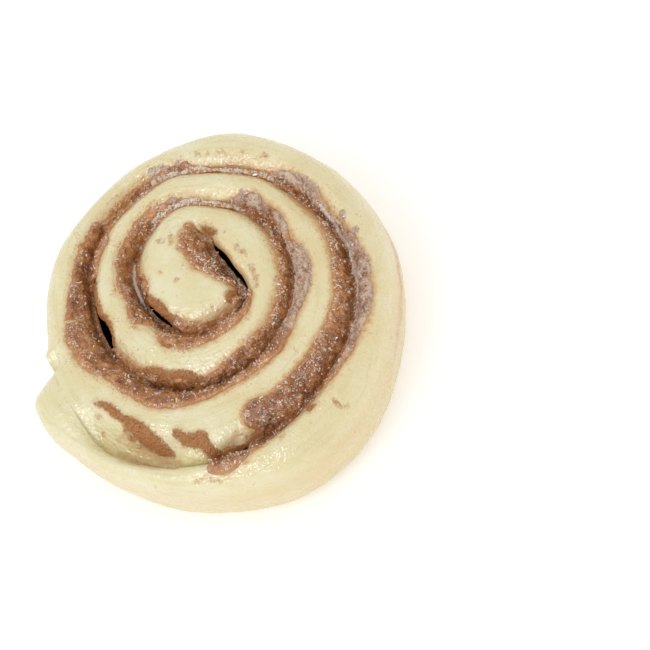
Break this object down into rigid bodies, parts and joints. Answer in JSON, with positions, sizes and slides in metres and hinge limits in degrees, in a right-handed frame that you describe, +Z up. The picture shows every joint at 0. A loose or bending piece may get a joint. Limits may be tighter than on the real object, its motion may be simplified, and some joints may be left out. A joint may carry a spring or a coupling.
{
  "type": "cinnamon bun",
  "caption": "Raw cinnamon bun: a flat spiral of pale dough rolled over a brown cinnamon filling, with a loose tail at the rim.",
  "frame": {"origin": "centre of the bounding box at the base the bun rests on", "axes": "+Z up, square to the spiral face; the camera of the reference view looks along +Y and down; the tail is at -X"},
  "size_m": [0.0905, 0.0914, 0.0235],
  "materials": {
    "dough": "moist, softly glossy raw dough",
    "filling": "grainy cinnamon, sugar and butter paste"
  },
  "bodies": {
    "root": {"dough": "dough", "filling": "filling"}
  },
  "joints": []
}
